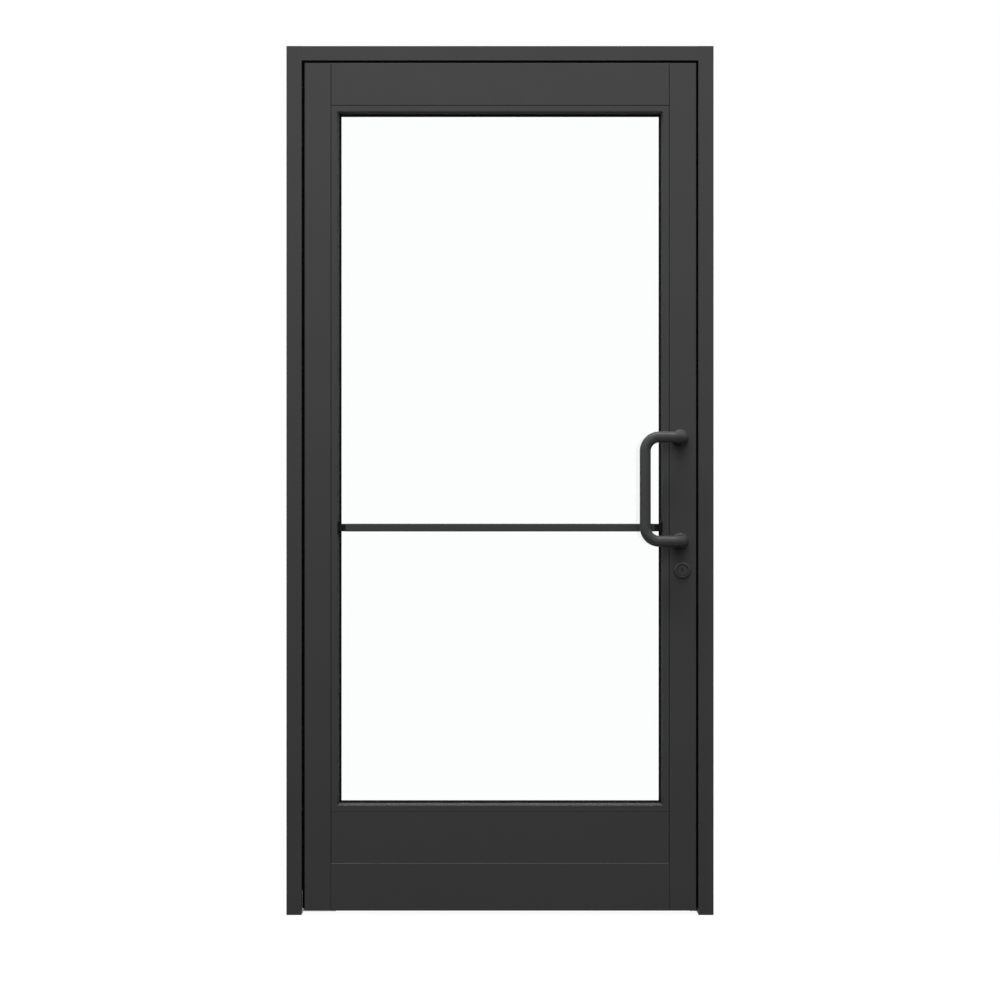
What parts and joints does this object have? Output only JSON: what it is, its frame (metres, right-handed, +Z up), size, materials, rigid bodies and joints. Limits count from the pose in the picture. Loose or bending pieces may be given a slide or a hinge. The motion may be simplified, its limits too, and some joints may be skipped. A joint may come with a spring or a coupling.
{
  "type": "storefront door",
  "caption": "Narrow stile aluminium storefront door in its frame: glazed leaf on centre pivots with a closer, offset pull, key lock and swinging bolt.",
  "frame": {"origin": "on the floor, under the middle of the frame's width and of the leaf's thickness", "axes": "+Z up the door, +X from the hinge jamb to the strike jamb, -Y out of the face with the pull"},
  "size_m": [1.051, 0.1842, 2.138],
  "materials": {
    "frame_extrusion": "charcoal powder coat, satin",
    "leaf_extrusion": "charcoal powder coat, satin",
    "mill_aluminium": "mill",
    "black_rubber": "matte",
    "pile": "woven pile",
    "foam_tape": "foam",
    "clear_glass": "clear",
    "clip_black": "moulded",
    "hardware_coat": "black powder coat, satin",
    "zinc_steel": "zinc plated",
    "plain_steel": "machined",
    "black_steel": "black phosphate",
    "closer_iron": "painted casting",
    "bearing_bronze": "turned"
  },
  "bodies": {
    "frame": {"hinge_jamb": "frame_extrusion", "strike_jamb": "frame_extrusion", "header": "frame_extrusion", "head_stop": "frame_extrusion", "strike_stop": "frame_extrusion", "jamb_filler": "frame_extrusion", "header_filler": "frame_extrusion", "head_weatherstrip": "black_rubber", "strike_weatherstrip": "black_rubber", "frame_screws": "zinc_steel", "strike_plate": "hardware_coat", "strike_clips": "mill_aluminium", "strike_screws": "zinc_steel", "closer_body": "closer_iron", "closer_screws": "black_steel", "bottom_pivot_bracket": "plain_steel", "bracket_backing_bar": "mill_aluminium", "bracket_screws": "zinc_steel", "thrust_washer": "bearing_bronze"},
    "leaf": {"back_gasket": "black_rubber", "back_level_glazing_stops": "leaf_extrusion", "back_muntin_bar": "leaf_extrusion", "back_upright_glazing_stops": "leaf_extrusion", "bottom_rail": "leaf_extrusion", "bottom_rail_extension": "leaf_extrusion", "closer_arm": "black_steel", "closer_arm_screws": "black_steel", "closer_spindle": "black_steel", "corner_blocks": "mill_aluminium", "cylinder_collars": "hardware_coat", "faceplate_clips": "mill_aluminium", "faceplate_screws": "zinc_steel", "front_gasket": "black_rubber", "front_level_glazing_stops": "leaf_extrusion", "front_muntin_bar": "leaf_extrusion", "front_upright_glazing_stops": "leaf_extrusion", "glass": "clear_glass", "heel_pile": "pile", "hinge_stile": "leaf_extrusion", "inner_cylinder": "hardware_coat", "lock_case": "zinc_steel", "lock_faceplate": "hardware_coat", "lock_stile": "leaf_extrusion", "muntin_clips": "clip_black", "muntin_tapes": "foam_tape", "outer_cylinder": "hardware_coat", "pivot_block": "mill_aluminium", "pivot_block_screws": "zinc_steel", "pivot_bush": "bearing_bronze", "pull_bolts": "hardware_coat", "pull_flanges": "hardware_coat", "pull_handle": "hardware_coat", "pull_sleeves": "mill_aluminium", "setting_blocks": "black_rubber", "tie_rod_nuts": "zinc_steel", "tie_rods": "zinc_steel", "top_rail": "leaf_extrusion"},
    "bolt": {"dead_bolt": "plain_steel"},
    "plug": {"key_plug": "hardware_coat"},
    "turn": {"thumb_turn": "hardware_coat"}
  },
  "joints": [
    {"name": "leaf_swing", "type": "hinge", "parent": "frame", "child": "leaf", "pos_m": [-0.41845, 0, 0], "axis": [0, 0, -1], "range_deg": [0, 105], "stiffness_Nm_per_rad": 9.8221, "springref_deg": -105},
    {"name": "bolt_throw", "type": "hinge", "parent": "leaf", "child": "bolt", "pos_m": [0.467, 0, 0.8122], "axis": [0, -1, 0], "range_deg": [0, 90]},
    {"name": "key_turn", "type": "hinge", "parent": "leaf", "child": "plug", "pos_m": [0.4485, -0.02223, 0.8482], "axis": [0, -1, 0], "range_deg": [0, 360]},
    {"name": "thumb_turn", "type": "hinge", "parent": "leaf", "child": "turn", "pos_m": [0.4485, 0.02223, 0.8482], "axis": [0, -1, 0], "range_deg": [0, 360]}
  ],
  "couplings": [
    {"joint": "bolt_throw", "follows": "key_turn", "ratio": 0.25}
  ]
}
